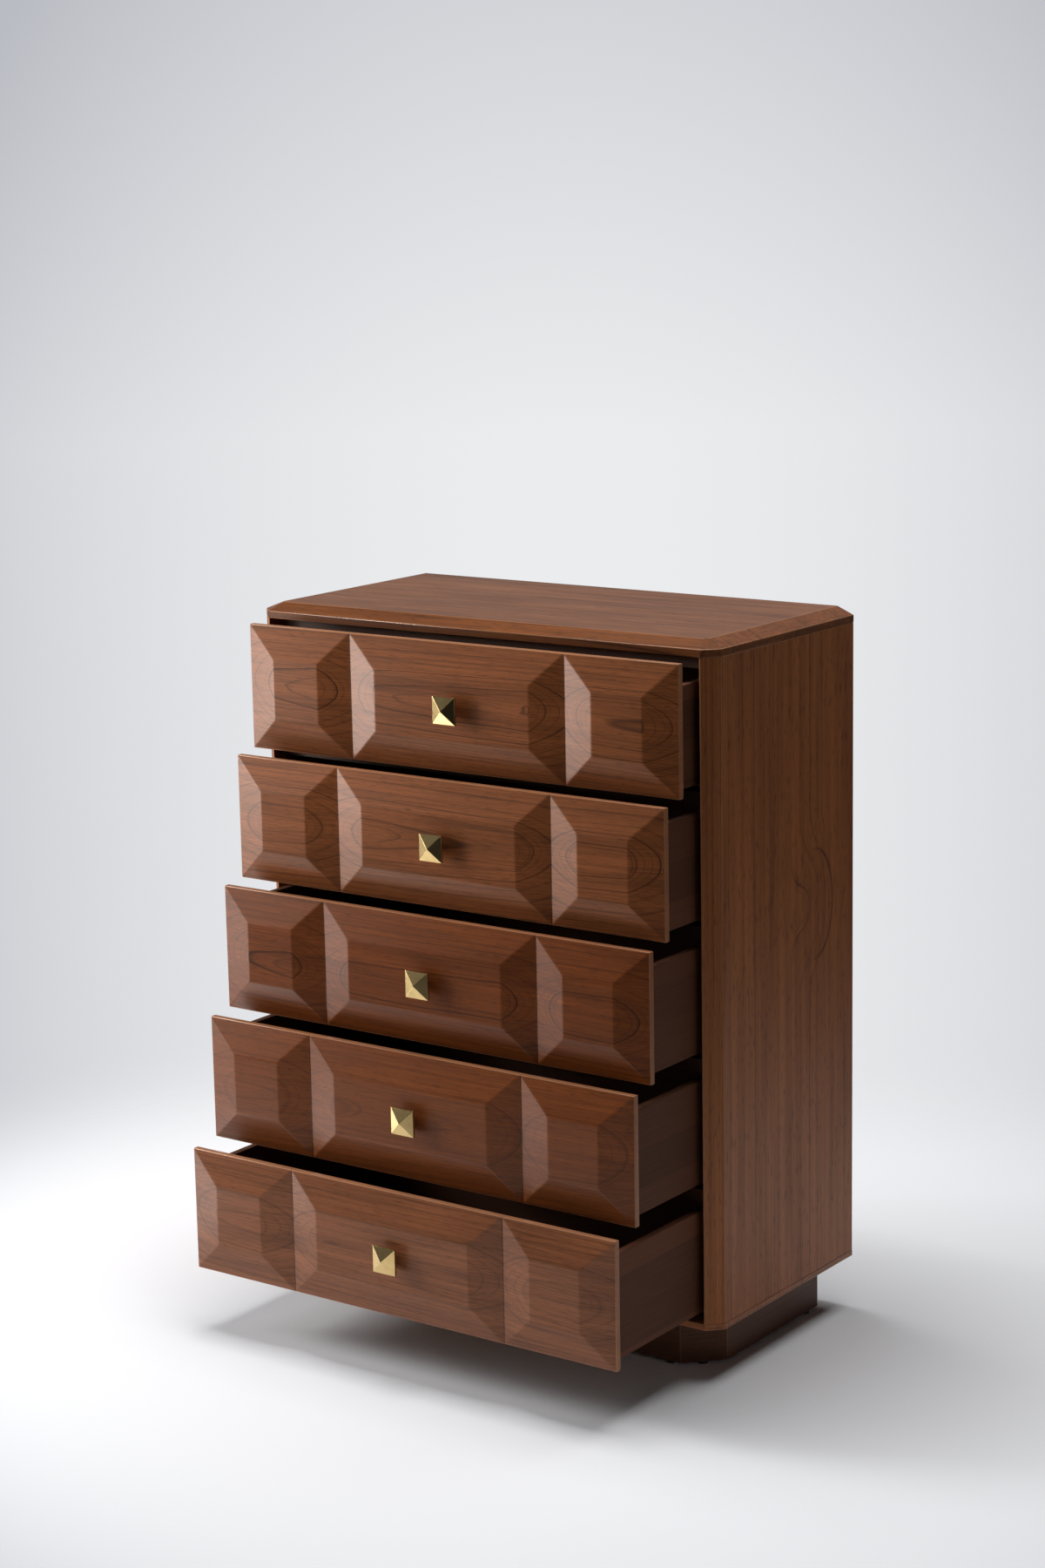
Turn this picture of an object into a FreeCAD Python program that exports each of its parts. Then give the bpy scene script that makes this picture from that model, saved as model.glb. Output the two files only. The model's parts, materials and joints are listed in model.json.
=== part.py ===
import FreeCAD, Part
import os

# Block front chest of five drawers, in millimetres.
# X points to the right, Y to the back and Z up. The origin is on the floor, under the middle of the case.
# At rest the drawers stand open by drawer_openings, the top drawer first.

Vector = FreeCAD.Vector

# Case
case_width = 850.0
case_depth = 402.0
side_thickness = 24.0
side_height = 1009.0
corner_cut = 22.0
top_edge_height = 11.5
top_bevel_height = 12.0
top_bevel_run = 28.0
bottom_thickness = 10.0
back_thickness = 8.0
back_rebate = 10.0
back_clearance = 0.25

# Rails above the drawers
rail_height = 20.0
rail_depth = 60.0

# Plinth and its feet
plinth_inset = 40.0
plinth_corner_cut = 52.0
plinth_height = 80.0
plinth_thickness = 18.0
foot_diameter = 16.0
foot_height = 4.5
front_foot_shares = (0.03, 0.97)
corner_foot_shares = (0.5,)
side_foot_shares = (0.93,)

# Drawer fronts
drawer_openings = (63.5, 104.0, 146.3, 190.0, 243.1)
front_side_gap = 1.5
front_end_gap = 2.0
front_between_gap = 4.6
front_edge_thickness = 10.0
front_setback = 0.5
front_stop_gap = 0.5
block_width_shares = (0.25, 0.5, 0.25)
block_raise = 13.0
block_slope_run = 56.0
block_slope_rise = 51.0

# Drawer boxes
box_side_inset = 9.5
box_side_thickness = 13.0
box_back_gap = 20.5
box_rise = 11.0
box_drop = 27.0
top_box_drop = 35.0
box_back_drop = 12.0
box_bottom_thickness = 6.0
box_bottom_lift = 13.0
groove_depth = 6.0
groove_clearance = 0.3

# Knobs and their screws
knob_size = 41.5
knob_rim = 4.0
knob_peak = 8.1
knob_tip = 0.8
knob_stem_diameter = 16.0
knob_stem_length = 12.8
knob_screw_diameter = 4.0
knob_screw_reach = 8.0
knob_thread_clearance = 0.1
knob_hole_clearance = 0.3
knob_screw_head_diameter = 9.0
knob_screw_head_height = 2.5

# Telescopic slides
slide_front_gap = 6.5
slide_back_gap = 3.5
slide_sheet = 1.5
slide_flange_height = 28.0
slide_drop = 6.0
slide_track_offset = 5.0
slide_track_width = 24.0
slide_wall_height = 5.5
slide_web = 4.0
slide_flange = 2.0
slide_clearance = 0.3

# Screws of the back panel
back_screw_diameter = 3.5
back_screw_length = 30.0
back_screw_head_diameter = 7.0
back_screw_head_height = 2.5
back_screw_clearance = 0.1
back_screw_head_sink = 0.2
back_screw_height_shares = (0.05, 0.35, 0.65, 0.95)

# Extra length of cutting shapes beyond what they cut
cut_overrun = 1.0

# Places worked out from the sizes
half_width = case_width / 2
front_y = -case_depth / 2
back_y = case_depth / 2
opening_half = half_width - side_thickness
plinth_z = foot_height
bottom_z = plinth_z + plinth_height
side_z = bottom_z + bottom_thickness
top_z = side_z + side_height
drawer_count = len(drawer_openings)
front_width = 2 * (opening_half - front_side_gap)
gaps_height = 2 * front_end_gap + (drawer_count - 1) * front_between_gap
front_height = (side_height - gaps_height) / drawer_count
front_thickness = front_edge_thickness + block_raise
closed_front_back_y = front_y + front_setback + front_thickness
box_half = front_width / 2 - box_side_inset
box_length = back_y - back_thickness - box_back_gap - closed_front_back_y
slide_y = closed_front_back_y + slide_front_gap
slide_length = box_length - slide_front_gap - slide_back_gap


def box(x, y, z):
    """A box from three (low, high) pairs."""
    size = (x[1] - x[0], y[1] - y[0], z[1] - z[0])
    return Part.makeBox(*size, Vector(x[0], y[0], z[0]))


def prism(points, z_low, z_high):
    """A plan outline of (x, y) points, raised from one height to another."""
    corners = [Vector(x, y, z_low) for x, y in points]
    face = Part.Face(Part.makePolygon(corners + corners[:1]))
    return face.extrude(Vector(0, 0, z_high - z_low))


def run_profile(points, y_low, y_high):
    """A section of (x, z) points, run along Y."""
    corners = [Vector(x, y_low, z) for x, z in points]
    face = Part.Face(Part.makePolygon(corners + corners[:1]))
    return face.extrude(Vector(0, y_high - y_low, 0))


def rod_along_y(x, z, y_low, y_high, diameter):
    """A round rod along Y."""
    return Part.makeCylinder(diameter / 2, y_high - y_low, Vector(x, y_low, z), Vector(0, 1, 0))


def mirrored(shape):
    """The same piece on the other side of the chest."""
    return shape.mirror(Vector(0, 0, 0), Vector(1, 0, 0))


def case_outline(inset, cut):
    """Plan outline with cut front corners, from the back left corner anticlockwise."""
    side = half_width - inset
    front = front_y + inset
    back = back_y - inset
    return [(-side, back), (-side, front + cut), (-side + cut, front),
            (side - cut, front), (side, front + cut), (side, back)]


def inset_outline(points, distances):
    """Moves each edge of an anticlockwise outline inwards. Edge i runs from point i to the next."""
    lines = []
    for i, (x, y) in enumerate(points):
        x2, y2 = points[(i + 1) % len(points)]
        along = Vector(x2 - x, y2 - y, 0).normalize()
        inwards = Vector(-along.y, along.x, 0)
        lines.append((Vector(x, y, 0) + inwards * distances[i], along))
    inner = []
    for i, (start, along) in enumerate(lines):
        before, before_along = lines[i - 1]
        across = before_along.cross(along).z
        step = (start - before).cross(along).z / across
        corner = before + before_along * step
        inner.append((corner.x, corner.y))
    return inner


def solid_between(lower, z_low, upper, z_high):
    """A solid with flat sides between two outlines that have the same number of corners."""
    low = [Vector(x, y, z_low) for x, y in lower]
    high = [Vector(x, y, z_high) for x, y in upper]
    loops = [low, high]
    for i in range(len(low)):
        j = (i + 1) % len(low)
        loops.append([low[i], low[j], high[j], high[i]])
    faces = [Part.Face(Part.makePolygon(loop + loop[:1])) for loop in loops]
    return Part.makeSolid(Part.makeShell(faces))


def top_panel():
    outline = case_outline(0, corner_cut)
    edge_count = len(outline)
    runs = [top_bevel_run] * (edge_count - 1) + [0]
    flat = inset_outline(outline, runs)
    bevel_z = top_z + top_edge_height
    edge = prism(outline, top_z, bevel_z)
    crown = solid_between(outline, bevel_z, flat, bevel_z + top_bevel_height)
    return edge.fuse(crown).removeSplitter()


def bottom_panel():
    return prism(case_outline(0, corner_cut), bottom_z, side_z)


def back_screw_places():
    """The (x, z) places of the back panel's screws, in the middle of the sides' rebates."""
    x = opening_half + back_rebate / 2
    heights = [side_z + share * side_height for share in back_screw_height_shares]
    return [(side * x, z) for side in (-1, 1) for z in heights]


def back_screw(x, z, clearance, head_y):
    """A screw, or with a clearance the hole that takes it."""
    shank_end = back_y - back_screw_length - clearance
    shank = rod_along_y(x, z, shank_end, back_y, back_screw_diameter + 2 * clearance)
    head = rod_along_y(x, z, head_y, back_y + clearance, back_screw_head_diameter + 2 * clearance)
    return shank.fuse(head)


def back_screw_head_y():
    return back_y - back_screw_head_sink - back_screw_head_height


def cut_back_screw_holes(shape):
    for x, z in back_screw_places():
        shape = shape.cut(back_screw(x, z, back_screw_clearance, back_screw_head_y()))
    return shape


def back_screws():
    screws = []
    for x, z in back_screw_places():
        screw = back_screw(x, z, 0, back_screw_head_y())
        outside = box((-half_width, half_width), (back_y - back_screw_head_sink, back_y + cut_overrun), (0, top_z))
        screws.append(screw.cut(outside))
    return Part.makeCompound(screws)


def side_panel():
    """The right side: a board with its front corner cut and a rebate for the back panel."""
    shoulder = back_y - back_thickness
    outline = [(opening_half, front_y), (half_width - corner_cut, front_y), (half_width, front_y + corner_cut),
               (half_width, back_y), (opening_half + back_rebate, back_y),
               (opening_half + back_rebate, shoulder), (opening_half, shoulder)]
    return prism(outline, side_z, top_z)


def back_panel():
    half = opening_half + back_rebate - back_clearance
    return box((-half, half), (back_y - back_thickness, back_y), (side_z, top_z))


def front_rails():
    low_y = closed_front_back_y + front_stop_gap
    rails = []
    for number in range(drawer_count):
        rail_top = front_z(number) + front_height + front_end_gap
        rails.append(box((-opening_half, opening_half), (low_y, low_y + rail_depth),
                         (rail_top - rail_height, rail_top)))
    return Part.makeCompound(rails)


def plinth_outlines():
    outer = case_outline(plinth_inset, plinth_corner_cut)
    inner = inset_outline(outer, [plinth_thickness] * len(outer))
    return outer, inner


def plinth_boards():
    """The six mitred boards of the plinth, from the left side round to the back."""
    outer, inner = plinth_outlines()
    boards = []
    for i in range(len(outer)):
        j = (i + 1) % len(outer)
        boards.append(prism([outer[i], outer[j], inner[j], inner[i]], plinth_z, bottom_z))
    names = ("left", "left_corner", "front", "right_corner", "right", "back")
    return dict(zip(names, boards))


def glide_feet():
    outer, inner = plinth_outlines()
    middle = [((x + u) / 2, (y + v) / 2) for (x, y), (u, v) in zip(outer, inner)]
    reversed_side_shares = [1 - share for share in side_foot_shares]
    shares_by_board = (reversed_side_shares, corner_foot_shares, front_foot_shares,
                       corner_foot_shares, side_foot_shares)
    feet = []
    for i, shares in enumerate(shares_by_board):
        (x, y), (u, v) = middle[i], middle[i + 1]
        for share in shares:
            place = Vector(x + share * (u - x), y + share * (v - y), 0)
            feet.append(Part.makeCylinder(foot_diameter / 2, foot_height, place))
    return Part.makeCompound(feet)


def front_z(number):
    """Height of a drawer front's bottom edge. Number 0 is the top drawer."""
    return top_z - front_end_gap - front_height - number * (front_height + front_between_gap)


def front_back_y(number):
    """The back face of a drawer front where the drawer stands at rest."""
    return closed_front_back_y - drawer_openings[number]


def knob_centre_z(number):
    return front_z(number) + front_height / 2


def drawer_front(number):
    """An edged board with three blocks raised on it, and the knob screw's hole."""
    low_z = front_z(number)
    high_z = low_z + front_height
    back = front_back_y(number)
    base = back - front_edge_thickness
    flat = base - block_raise
    half = front_width / 2
    front = box((-half, half), (base, back), (low_z, high_z))
    left = -half
    for share in block_width_shares:
        right = left + share * front_width
        front = front.fuse(Part.makeWedge(
            left + block_slope_run, flat, low_z + block_slope_rise, low_z, left,
            right - block_slope_run, base, high_z - block_slope_rise, high_z, right))
        left = right
    hole_diameter = knob_screw_diameter + 2 * knob_hole_clearance
    hole = rod_along_y(0, knob_centre_z(number), flat - cut_overrun, back + cut_overrun, hole_diameter)
    return front.removeSplitter().cut(hole)


def box_heights(number):
    """The bottom and top edges of a drawer's sides. The top drawer's box is lower, to clear the top rail."""
    drop = top_box_drop if number == 0 else box_drop
    return front_z(number) + box_rise, front_z(number) + front_height - drop


def box_bottom_z(number):
    return box_heights(number)[0] + box_bottom_lift


def drawer_side(number):
    """The right side of a drawer, with the groove for its bottom."""
    low_z, high_z = box_heights(number)
    front = front_back_y(number)
    inner = box_half - box_side_thickness
    board = box((inner, box_half), (front, front + box_length), (low_z, high_z))
    groove_z = box_bottom_z(number)
    groove = box((inner - cut_overrun, inner + groove_depth), (front - cut_overrun, front + box_length + cut_overrun),
                 (groove_z - groove_clearance, groove_z + box_bottom_thickness + groove_clearance))
    return board.cut(groove)


def drawer_bottom(number):
    half = box_half - box_side_thickness + groove_depth - groove_clearance
    front = front_back_y(number)
    low_z = box_bottom_z(number)
    return box((-half, half), (front, front + box_length), (low_z, low_z + box_bottom_thickness))


def drawer_back(number):
    half = box_half - box_side_thickness
    rear = front_back_y(number) + box_length
    low_z = box_bottom_z(number) + box_bottom_thickness
    high_z = box_heights(number)[1] - box_back_drop
    return box((-half, half), (rear - box_side_thickness, rear), (low_z, high_z))


def knob(number):
    """A round stem, a square rim and a low pyramid, with a threaded hole for the screw."""
    z = knob_centre_z(number)
    half = knob_size / 2
    tip = knob_tip / 2
    stem_end = front_back_y(number) - front_thickness
    rim_back = stem_end - knob_stem_length
    rim_front = rim_back - knob_rim
    head = box((-half, half), (rim_front, rim_back), (z - half, z + half))
    peak = Part.makeWedge(-tip, rim_front - knob_peak, z - tip, z - half, -half,
                          tip, rim_front, z + tip, z + half, half)
    stem = rod_along_y(0, z, rim_back, stem_end, knob_stem_diameter)
    thread_diameter = knob_screw_diameter + 2 * knob_thread_clearance
    thread_end = stem_end - knob_screw_reach - knob_thread_clearance
    thread = rod_along_y(0, z, thread_end, stem_end + cut_overrun, thread_diameter)
    return head.fuse(peak).fuse(stem).removeSplitter().cut(thread)


def knob_screw(number):
    z = knob_centre_z(number)
    back = front_back_y(number)
    end = back - front_thickness - knob_screw_reach
    shank = rod_along_y(0, z, end, back, knob_screw_diameter)
    head = rod_along_y(0, z, back, back + knob_screw_head_height, knob_screw_head_diameter)
    return shank.fuse(head)


def track_edges():
    """The inner and outer X of the right slide's track, under the drawer's bottom."""
    outer = box_half - box_side_thickness - slide_track_offset
    return outer - slide_track_width, outer


def pair(right):
    return Part.makeCompound([right, mirrored(right)])


def cabinet_member(number):
    """A bent steel section: screwed to the case's side, under the drawer's side, and up into a track."""
    inner, outer = track_edges()
    floor = box_heights(number)[0] - slide_drop
    sheet_top = floor + slide_sheet
    wall_top = sheet_top + slide_wall_height
    wall = opening_half
    points = [(wall, floor), (wall, floor + slide_flange_height), (wall - slide_sheet, floor + slide_flange_height),
              (wall - slide_sheet, sheet_top), (outer, sheet_top), (outer, wall_top), (outer - slide_sheet, wall_top),
              (outer - slide_sheet, sheet_top), (inner + slide_sheet, sheet_top), (inner + slide_sheet, wall_top),
              (inner, wall_top), (inner, floor)]
    return run_profile(points, slide_y, slide_y + slide_length)


def middle_member(number):
    """A steel section like a beam's, between the track and the runner, half as far out as the drawer."""
    inner, outer = track_edges()
    low = box_heights(number)[0] - slide_drop + slide_sheet + slide_clearance
    high = box_bottom_z(number) - slide_sheet - slide_clearance
    left = inner + slide_sheet + slide_clearance
    right = outer - slide_sheet - slide_clearance
    web_left = (left + right - slide_web) / 2
    web_right = web_left + slide_web
    points = [(left, low), (right, low), (right, low + slide_flange), (web_right, low + slide_flange),
              (web_right, high - slide_flange), (right, high - slide_flange), (right, high), (left, high),
              (left, high - slide_flange), (web_left, high - slide_flange), (web_left, low + slide_flange),
              (left, low + slide_flange)]
    start = slide_y - drawer_openings[number] / 2
    return run_profile(points, start, start + slide_length)


def drawer_runner(number):
    """A steel channel under the drawer's bottom, open downwards, over the middle member."""
    inner, outer = track_edges()
    top = box_bottom_z(number)
    ceiling = top - slide_sheet
    wall_low = ceiling - slide_wall_height
    points = [(inner, wall_low), (inner + slide_sheet, wall_low), (inner + slide_sheet, ceiling),
              (outer - slide_sheet, ceiling), (outer - slide_sheet, wall_low), (outer, wall_low),
              (outer, top), (inner, top)]
    start = slide_y - drawer_openings[number]
    return run_profile(points, start, start + slide_length)


def cabinet_members():
    pairs = [pair(cabinet_member(number)) for number in range(drawer_count)]
    return Part.makeCompound([solid for group in pairs for solid in group.Solids])


def case_nodes():
    right_side = side_panel()
    nodes = {
        "top_panel": top_panel(),
        "left_side_panel": cut_back_screw_holes(mirrored(right_side)),
        "right_side_panel": cut_back_screw_holes(right_side),
        "bottom_panel": bottom_panel(),
        "back_panel": cut_back_screw_holes(back_panel()),
        "back_screws": back_screws(),
        "front_rails": front_rails(),
        "glide_feet": glide_feet(),
        "slide_cabinet_members": cabinet_members(),
    }
    for name, board in plinth_boards().items():
        nodes["plinth_" + name] = board
    return nodes


def drawer_nodes(number):
    right_side = drawer_side(number)
    nodes = {
        "front": drawer_front(number),
        "left_side": mirrored(right_side),
        "right_side": right_side,
        "back": drawer_back(number),
        "bottom": drawer_bottom(number),
        "knob": knob(number),
        "knob_screw": knob_screw(number),
        "slide_runners": pair(drawer_runner(number)),
        "slide_middles": pair(middle_member(number)),
    }
    return {"drawer_%d_%s" % (number + 1, name): shape for name, shape in nodes.items()}


os.makedirs("parts", exist_ok=True)
all_nodes = case_nodes()
for drawer in range(drawer_count):
    all_nodes.update(drawer_nodes(drawer))
for node, shape in all_nodes.items():
    shape.exportStep("parts/" + node + ".step")
    print(node, len(shape.Solids), "solids", "valid" if shape.isValid() else "NOT VALID", round(shape.Volume))
print(len(all_nodes), "nodes, front", round(front_width, 2), "by", round(front_height, 2))
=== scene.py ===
# %% [markdown]
# # Block front chest of five drawers
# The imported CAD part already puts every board, knob and slide in its place. This lesson dresses it for a
# close look: edges are eased as a joiner eases them, the walnut's growth rings run right through the carved
# blocks, the knobs are cast brass, and a plain photo studio stands round it.
# Sizes are written in millimetres, as a cabinet maker writes them. They become metres only where Blender
# needs them.

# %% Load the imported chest
import json
from math import atan2, cos, degrees, pi, radians, sin

import bmesh
import bpy
from mathutils import Matrix, Vector

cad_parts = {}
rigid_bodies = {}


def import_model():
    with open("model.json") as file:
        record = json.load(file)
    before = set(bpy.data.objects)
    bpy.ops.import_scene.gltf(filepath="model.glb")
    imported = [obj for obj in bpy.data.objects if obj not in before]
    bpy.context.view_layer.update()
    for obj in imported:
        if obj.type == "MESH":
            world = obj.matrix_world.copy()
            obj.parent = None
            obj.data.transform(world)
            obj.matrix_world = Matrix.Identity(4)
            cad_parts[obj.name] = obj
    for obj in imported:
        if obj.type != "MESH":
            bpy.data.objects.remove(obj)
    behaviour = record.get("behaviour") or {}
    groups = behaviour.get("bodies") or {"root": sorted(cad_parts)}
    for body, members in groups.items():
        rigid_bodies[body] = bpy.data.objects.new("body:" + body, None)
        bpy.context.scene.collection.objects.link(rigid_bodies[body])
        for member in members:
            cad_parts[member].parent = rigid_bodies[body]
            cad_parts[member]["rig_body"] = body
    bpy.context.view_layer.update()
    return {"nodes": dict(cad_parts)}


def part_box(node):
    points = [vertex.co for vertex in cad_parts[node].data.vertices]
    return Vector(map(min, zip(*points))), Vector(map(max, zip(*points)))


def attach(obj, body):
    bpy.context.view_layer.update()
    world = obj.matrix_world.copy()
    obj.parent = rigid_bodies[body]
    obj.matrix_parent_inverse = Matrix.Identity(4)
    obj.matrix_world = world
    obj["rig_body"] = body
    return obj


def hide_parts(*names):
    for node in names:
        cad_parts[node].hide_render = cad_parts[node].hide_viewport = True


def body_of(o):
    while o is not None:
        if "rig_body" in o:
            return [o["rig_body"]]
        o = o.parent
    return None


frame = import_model()
MM = 0.001

# %% [markdown]
# ## Camera
# The photograph was taken from the right of the chest, a little above its top, with a long lens. A camera
# can be placed by eye, but here its place was worked out from the corners of the drawer fronts, so that the
# render and the photograph can be laid over each other. The picture is upright, so the 36 mm sensor lies
# along its height.

# %% Camera at the photograph's viewpoint
CAMERA_PLACE = (2794.0, -3942.9, 1828.2)
CAMERA_YAW, CAMERA_PITCH, CAMERA_ROLL = 35.898, 11.520, -1.097
CAMERA_LENS, CAMERA_SENSOR = 72.05, 36.0

yaw, pitch, roll = radians(CAMERA_YAW), radians(CAMERA_PITCH), radians(CAMERA_ROLL)
turn = Matrix.Rotation(yaw, 4, "Z") @ Matrix.Rotation(pi / 2 - pitch, 4, "X") @ Matrix.Rotation(roll, 4, "Z")
camera = bpy.data.objects.new("camera", bpy.data.cameras.new("camera"))
camera.data.lens = CAMERA_LENS
camera.data.sensor_width = CAMERA_SENSOR
camera.matrix_world = Matrix.Translation(Vector(CAMERA_PLACE) * MM) @ turn
bpy.context.scene.collection.objects.link(camera)
bpy.context.scene.camera = camera
print("camera looks along", [round(v, 3) for v in turn.to_3x3() @ Vector((0, 0, -1))])

# %% [markdown]
# ## Helpers for materials
# Colours are picked as sRGB hex values, the way a paint chart gives them, and a shader wants linear light.
# One function does that sum. Another adds a node to a tree, sets what it is given and links any socket it is
# given, so a material reads as a list of steps. Each material starts with an empty tree.

# %% Colour and node helpers
def linear(hex_colour):
    """An sRGB hex colour as linear RGBA."""
    channels = [int(hex_colour[i:i + 2], 16) / 255 for i in (1, 3, 5)]
    return [c / 12.92 if c <= 0.04045 else ((c + 0.055) / 1.055) ** 2.4 for c in channels] + [1.0]


def grey(value):
    """A grey of a linear value as RGBA."""
    return (value, value, value, 1.0)


def add(tree, kind, settings=None, inputs=None, stops=None):
    """Adds a node with its settings, its inputs (values, or sockets to link) and a colour ramp's stops."""
    made = tree.nodes.new("ShaderNode" + kind)
    for name, value in (settings or {}).items():
        setattr(made, name, value)
    for key, value in (inputs or {}).items():
        if isinstance(value, bpy.types.NodeSocket):
            tree.links.new(value, made.inputs[key])
        else:
            made.inputs[key].default_value = value
    for i, (place, colour) in enumerate(stops or []):
        elements = made.color_ramp.elements
        element = elements[i] if i < 2 else elements.new(place)
        element.position, element.color = place, colour
    return made


def new_material(name):
    """A material whose node tree is empty, and that tree."""
    made = bpy.data.materials.new(name)
    made.use_nodes = True
    made.node_tree.nodes.clear()
    return made, made.node_tree


print("walnut brown in linear light", [round(c, 3) for c in linear("#6F4428")])

# %% [markdown]
# ## Studio floor
# The chest stands on pale matt paper that runs out into a pale backdrop. A large plane could do, but a floor
# with an edge would show a line behind the chest. So this disc fades to clear before it ends, and sooner for
# the camera than for the light that it throws back.

# %% Floor that fades into the backdrop
FLOOR_RADIUS, FLOOR_SEEN_RADIUS = 2900.0, 1800.0
FLOOR_SOLID_RADIUS = 600.0
FLOOR_SIDES = 96
PAPER = "#E8E9EC"

bm = bmesh.new()
bmesh.ops.create_circle(bm, cap_ends=True, segments=FLOOR_SIDES, radius=FLOOR_RADIUS * MM)
floor_mesh = bpy.data.meshes.new("floor")
bm.to_mesh(floor_mesh)
bm.free()
floor = bpy.data.objects.new("floor", floor_mesh)
bpy.context.scene.collection.objects.link(floor)

paper, tree = new_material("studio paper")
places = add(tree, "TexCoord")
distance = add(tree, "VectorMath", {"operation": "LENGTH"}, {0: places.outputs["Object"]})
rays = add(tree, "LightPath")
rim = add(tree, "Math", {"operation": "MULTIPLY_ADD"},
          {0: rays.outputs["Is Camera Ray"], 1: (FLOOR_SEEN_RADIUS - FLOOR_RADIUS) * MM,
           2: FLOOR_RADIUS * MM})
fade = add(tree, "MapRange", {"interpolation_type": "SMOOTHERSTEP"},
           {"Value": distance.outputs["Value"], "From Min": FLOOR_SOLID_RADIUS * MM,
            "From Max": rim.outputs[0]})
matt = add(tree, "BsdfDiffuse", inputs={"Color": linear(PAPER)})
clear = add(tree, "BsdfTransparent")
faded = add(tree, "MixShader", inputs={0: fade.outputs[0], 1: matt.outputs[0], 2: clear.outputs[0]})
add(tree, "OutputMaterial", inputs={"Surface": faded.outputs[0]})
floor_mesh.materials.append(paper)
print("floor radius in metres", FLOOR_RADIUS * MM)

# %% [markdown]
# ## Backdrop
# The world gives a low, even light, but the camera and mirror-like reflections see it as the backdrop. A
# backdrop could be a mesh behind the chest, but it would end somewhere when the chest is seen from another
# side. It is brightest behind the chest and dims to the sides and upwards, as a lit paper roll does.

# %% World that lights softly and shows as the backdrop
BACKDROP_LIT, BACKDROP_DIM = "#EBECEE", "#BABCC3"
BACKDROP_AZIMUTH, BACKDROP_RIM = radians(125.0), radians(14.0)
CLIMB_START, CLIMB_END = -0.09, 0.16
WORLD_LIGHT = 0.01

world = bpy.data.worlds.new("studio")
bpy.context.scene.world = world
world.use_nodes = True
tree = world.node_tree
tree.nodes.clear()
rays = add(tree, "LightPath")
seen = add(tree, "Math", {"operation": "MAXIMUM"},
           {0: rays.outputs["Is Camera Ray"], 1: rays.outputs["Is Glossy Ray"]})
seen = add(tree, "Math", {"operation": "MAXIMUM"},
           {0: seen.outputs[0], 1: rays.outputs["Is Transmission Ray"]})
light = add(tree, "Background", inputs={"Color": grey(1.0), "Strength": WORLD_LIGHT})
directions = add(tree, "TexCoord").outputs["Generated"]
level = add(tree, "VectorMath", {"operation": "MULTIPLY"}, {0: directions, 1: (1, 1, 0)})
level = add(tree, "VectorMath", {"operation": "NORMALIZE"}, {0: level.outputs[0]})
near = add(tree, "VectorMath", {"operation": "DOT_PRODUCT"},
           {0: level.outputs[0], 1: (cos(BACKDROP_AZIMUTH), sin(BACKDROP_AZIMUTH), 0)})
aside = add(tree, "MapRange",
            inputs={"Value": near.outputs["Value"], "From Min": 1.0, "From Max": cos(BACKDROP_RIM)})
height = add(tree, "SeparateXYZ", inputs={0: directions})
climb = add(tree, "MapRange",
            inputs={"Value": height.outputs["Z"], "From Min": CLIMB_START, "From Max": CLIMB_END})
shade = add(tree, "Math", {"operation": "ADD", "use_clamp": True},
            {0: aside.outputs[0], 1: climb.outputs[0]})
pale = add(tree, "Mix", {"data_type": "RGBA"},
           {0: shade.outputs[0], 6: linear(BACKDROP_LIT), 7: linear(BACKDROP_DIM)})
backdrop = add(tree, "Background", inputs={"Color": pale.outputs[2], "Strength": 1.0})
mixed = add(tree, "MixShader", inputs={0: seen.outputs[0], 1: light.outputs[0], 2: backdrop.outputs[0]})
add(tree, "OutputWorld", inputs={"Surface": mixed.outputs[0]})
bpy.context.scene.view_settings.view_transform = "Standard"
print("world light", WORLD_LIGHT)

# %% [markdown]
# ## Soft boxes
# In the photograph the facets that face left are bright and the knobs' shadows fall to the right, so the
# main soft box stands on the left, a little in front. Its reflection is the pale sheen on the lacquer. Lower
# lights on the same side reach under the overhanging drawers, two boxes overhead light the floor and the
# top, and a weak fill on the right keeps the side panel from going black. The powers were matched to the
# photograph's tones, one lamp at a time.
# Any place could be typed in, but the lamps on the left are placed by an angle and a distance, as a
# photographer walks them round the object.

# %% Lamps
DRAWERS_Y = -350.0
GLOW_HEIGHT = 5.0
# A row on the left holds an angle in degrees, a distance, a height, a size and a power.
LEFT_BOXES = (
    ("left_soft_box", 17.0, 4000.0, 1950.0, (1536.0, 1100.0), 128.0),
    ("near_box_upper", 22.0, 1900.0, 1600.0, (530.0, 800.0), 6.5),
    ("near_box_lower", 22.0, 1900.0, 850.0, (530.0, 700.0), 7.5),
    ("left_scrim", 38.0, 1900.0, 850.0, (530.0, 700.0), 2.0),
    ("low_strip", 25.5, 4000.0, 350.0, (350.0, 700.0), 11.5),
)
# These lie on the floor and shine upwards, so a row needs no height.
FLOOR_GLOWS = (
    ("lit_paper", 23.0, 2800.0, (1200.0, 1200.0), 18.5),
    ("lit_floor", 25.0, 1200.0, (600.0, 600.0), 2.4),
)
# A row holds a place, a target, a size and a power.
OTHER_BOXES = (
    ("left_overhead_box", (-500.0, 0.0, 4200.0), (-500.0, 0.0, 0.0), (1500.0, 1500.0), 96.0),
    ("right_overhead_box", (1000.0, 750.0, 4200.0), (1000.0, 750.0, 0.0), (1500.0, 3000.0), 70.0),
    ("right_fill", (3300.0, -700.0, 700.0), (425.0, 0.0, 500.0), (1200.0, 1200.0), 5.2),
)


def on_the_left(degrees_forward, distance, height):
    """A place at an angle from the left towards the front, round the middle of the open drawers."""
    angle = radians(degrees_forward)
    return Vector((-distance * cos(angle), DRAWERS_Y - distance * sin(angle), height))


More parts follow.
